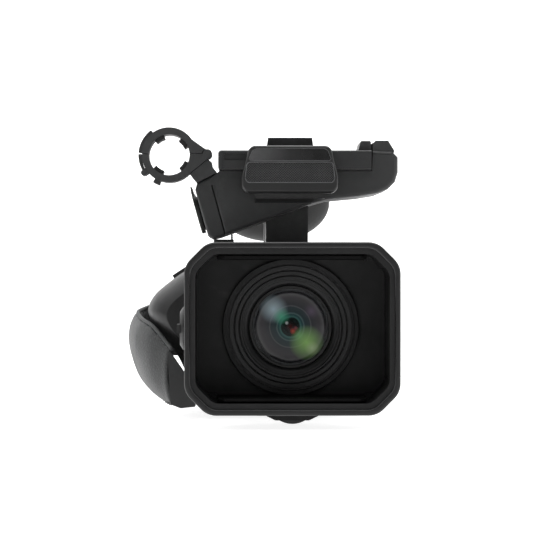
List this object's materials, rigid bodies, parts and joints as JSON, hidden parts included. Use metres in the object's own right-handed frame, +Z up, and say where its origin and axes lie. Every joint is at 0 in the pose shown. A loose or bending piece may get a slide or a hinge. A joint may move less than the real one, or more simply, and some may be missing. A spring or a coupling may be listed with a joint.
{
  "type": "handheld camcorder",
  "caption": "Handheld camcorder with box lens hood, top handle with folding screen and microphone, shotgun microphone clamp, hand grip with strap, and rear viewfinder.",
  "frame": {"origin": "mouth of the tripod socket in the flat underside of the base plate", "axes": "-Y the way the lens looks, +Z up, +X to the operator's left"},
  "size_m": [0.176, 0.371, 0.1864],
  "materials": {
    "shell_black": "fine grained moulded plastic, matt",
    "hood_black": "matt black moulding",
    "rim_rubber": "soft black rubber",
    "block_grey": "dark grey moulded plastic, satin",
    "gloss_black": "polished black plastic",
    "ring_black": "ribbed rubber grip",
    "metal_black": "black anodised aluminium, satin",
    "glass_coated": "clear glass with a green and violet coating",
    "screen": "dark glass over a display",
    "strap_fabric": "woven dark grey nylon over foam",
    "strap_leather": "grained dark grey leatherette",
    "steel": "bright steel",
    "board": "green circuit board",
    "capsule": "metal capsule",
    "mesh": "punched metal mesh, black",
    "pack_black": "smooth matt plastic",
    "red_button": "red plastic"
  },
  "bodies": {
    "camera": {"body_cover_left": "shell_black", "body_cover_right": "shell_black", "rear_panel": "shell_black", "base_plate": "metal_black", "fastening_screws": "steel", "lens_barrel": "metal_black", "filter_ring": "metal_black", "front_lens_element": "glass_coated", "lens_cell": "metal_black", "inner_lens_elements": "glass_coated", "image_sensor": "board", "main_board": "board", "handle_frame": "shell_black", "handle_front_block": "block_grey", "xlr_end_cover": "block_grey", "xlr_jacks": "metal_black", "cable_clip": "shell_black", "microphone_housing": "block_grey", "microphone_grille": "mesh", "microphone_panel": "gloss_black", "microphone_capsules": "capsule", "accessory_shoes": "metal_black", "mic_holder_bracket": "block_grey", "mic_holder_lower": "block_grey", "mic_pads_lower": "rim_rubber", "grip_housing": "gloss_black", "strap_pad": "strap_fabric", "strap_web": "strap_leather", "strap_anchors": "metal_black"},
    "lens_hood": {"hood_shell": "hood_black", "hood_trim": "rim_rubber"},
    "shutter_blade_top": {"shutter_upper": "hood_black"},
    "shutter_blade_bottom": {"shutter_lower": "hood_black"},
    "shutter_lever": {"shutter_knob": "block_grey"},
    "hood_button": {"hood_release_button": "shell_black"},
    "focus_control": {"focus_ring": "ring_black"},
    "zoom_control": {"zoom_ring": "ring_black"},
    "iris_control": {"iris_ring": "ring_black"},
    "screen_panel": {"lcd_shell": "block_grey", "lcd_screen": "screen", "lcd_hinge": "block_grey"},
    "mic_clamp_lid": {"mic_holder_upper": "block_grey", "mic_pads_upper": "rim_rubber"},
    "mic_clamp_latch": {"mic_latch": "block_grey"},
    "viewfinder": {"viewfinder_body": "shell_black", "eyecup": "rim_rubber", "eyepiece_lens": "glass_coated"},
    "battery": {"battery_pack": "pack_black"},
    "grip_zoom_lever": {"grip_zoom_rocker": "shell_black"},
    "grip_record_button": {"grip_rec_button": "red_button"},
    "handle_zoom_lever": {"handle_zoom_rocker": "shell_black"},
    "handle_record_button": {"handle_rec_button": "red_button"},
    "card_cover": {"card_door": "shell_black"},
    "audio_window": {"audio_cover": "gloss_black"},
    "menu_wheel": {"menu_dial": "block_grey"},
    "audio_level_1": {"audio_knob_1": "block_grey"},
    "audio_level_2": {"audio_knob_2": "block_grey"},
    "filter_switch": {"nd_switch": "block_grey"},
    "assign_key_1": {"assign_button_1": "block_grey"},
    "assign_key_2": {"assign_button_2": "block_grey"}
  },
  "joints": [
    {"name": "hood_take_off", "type": "slide", "parent": "camera", "child": "lens_hood", "axis": [0, -1, 0], "range_m": [0, 0.08]},
    {"name": "shutter_lever_turn", "type": "hinge", "parent": "lens_hood", "child": "shutter_lever", "pos_m": [-0.066, -0.128, 0.0604], "axis": [1, 0, 0], "range_deg": [0, 60]},
    {"name": "shutter_top_fold", "type": "hinge", "parent": "lens_hood", "child": "shutter_blade_top", "pos_m": [0, -0.117, 0.104], "axis": [1, 0, 0], "range_deg": [0, 90]},
    {"name": "shutter_bottom_fold", "type": "hinge", "parent": "lens_hood", "child": "shutter_blade_bottom", "pos_m": [0, -0.117, 0.0176], "axis": [-1, 0, 0], "range_deg": [0, 90]},
    {"name": "hood_button_press", "type": "slide", "parent": "lens_hood", "child": "hood_button", "axis": [0, 0, 1], "range_m": [0, 0.0014], "stiffness_N_per_m": 500},
    {"name": "focus_turn", "type": "hinge", "parent": "camera", "child": "focus_control", "pos_m": [0, -0.0795, 0.0608], "axis": [0, 1, 0], "continuous": true},
    {"name": "zoom_turn", "type": "hinge", "parent": "camera", "child": "zoom_control", "pos_m": [0, -0.053, 0.0608], "axis": [0, 1, 0], "range_deg": [-40, 50]},
    {"name": "iris_turn", "type": "hinge", "parent": "camera", "child": "iris_control", "pos_m": [0, -0.03475, 0.0608], "axis": [0, 1, 0], "continuous": true},
    {"name": "screen_open", "type": "hinge", "parent": "camera", "child": "screen_panel", "pos_m": [0.0603, -0.0558, 0.175], "axis": [0, 1, 0], "range_deg": [0, 180]},
    {"name": "mic_clamp_open", "type": "hinge", "parent": "camera", "child": "mic_clamp_lid", "pos_m": [-0.0521, -0.077, 0.1697], "axis": [0, 1, 0], "range_deg": [0, 75]},
    {"name": "mic_latch_open", "type": "hinge", "parent": "camera", "child": "mic_clamp_latch", "pos_m": [-0.09227, -0.077, 0.1579], "axis": [0, -1, 0], "range_deg": [0, 70]},
    {"name": "viewfinder_tilt", "type": "hinge", "parent": "camera", "child": "viewfinder", "pos_m": [-0.008, 0.112, 0.158], "axis": [1, 0, 0], "range_deg": [0, 80]},
    {"name": "battery_lift", "type": "slide", "parent": "camera", "child": "battery", "axis": [0, 0, 1], "range_m": [0, 0.012]},
    {"name": "grip_zoom_rock", "type": "hinge", "parent": "camera", "child": "grip_zoom_lever", "pos_m": [-0.06844, 0.018, 0.09118], "axis": [0.8387, 0, 0.5446], "range_deg": [-8, 8], "stiffness_Nm_per_rad": 0.2},
    {"name": "grip_record_press", "type": "slide", "parent": "camera", "child": "grip_record_button", "axis": [0, -1, 0], "range_m": [0, 0.0015], "stiffness_N_per_m": 500},
    {"name": "handle_zoom_rock", "type": "hinge", "parent": "camera", "child": "handle_zoom_lever", "pos_m": [-0.00125, 0.034, 0.1714], "axis": [1, 0, 0], "range_deg": [-5, 5], "stiffness_Nm_per_rad": 0.2},
    {"name": "handle_record_press", "type": "slide", "parent": "camera", "child": "handle_record_button", "axis": [0, 0, -1], "range_m": [0, 0.0012], "stiffness_N_per_m": 500},
    {"name": "card_cover_open", "type": "hinge", "parent": "camera", "child": "card_cover", "pos_m": [-0.0428, 0.1328, 0.055], "axis": [0, 0, 1], "range_deg": [0, 100]},
    {"name": "audio_window_open", "type": "hinge", "parent": "camera", "child": "audio_window", "pos_m": [0.0511, 0.099, 0.0456], "axis": [0, 1, 0], "range_deg": [0, 110]},
    {"name": "menu_wheel_turn", "type": "hinge", "parent": "camera", "child": "menu_wheel", "pos_m": [0.0545, 0.02, 0.04], "axis": [1, 0, 0], "continuous": true},
    {"name": "audio_level_1_turn", "type": "hinge", "parent": "camera", "child": "audio_level_1", "pos_m": [0.0475, 0.099, 0.078], "axis": [1, 0, 0], "range_deg": [-150, 150]},
    {"name": "audio_level_2_turn", "type": "hinge", "parent": "camera", "child": "audio_level_2", "pos_m": [0.0475, 0.099, 0.06], "axis": [1, 0, 0], "range_deg": [-150, 150]},
    {"name": "filter_switch_slide", "type": "slide", "parent": "camera", "child": "filter_switch", "axis": [0, 0, 1], "range_m": [-0.0035, 0.0055]},
    {"name": "assign_key_1_press", "type": "slide", "parent": "camera", "child": "assign_key_1", "axis": [-1, 0, 0], "range_m": [0, 0.0008], "stiffness_N_per_m": 500},
    {"name": "assign_key_2_press", "type": "slide", "parent": "camera", "child": "assign_key_2", "axis": [-1, 0, 0], "range_m": [0, 0.0008], "stiffness_N_per_m": 500}
  ],
  "couplings": [
    {"joint": "shutter_top_fold", "follows": "shutter_lever_turn", "ratio": 1.5},
    {"joint": "shutter_bottom_fold", "follows": "shutter_lever_turn", "ratio": 1.5}
  ]
}
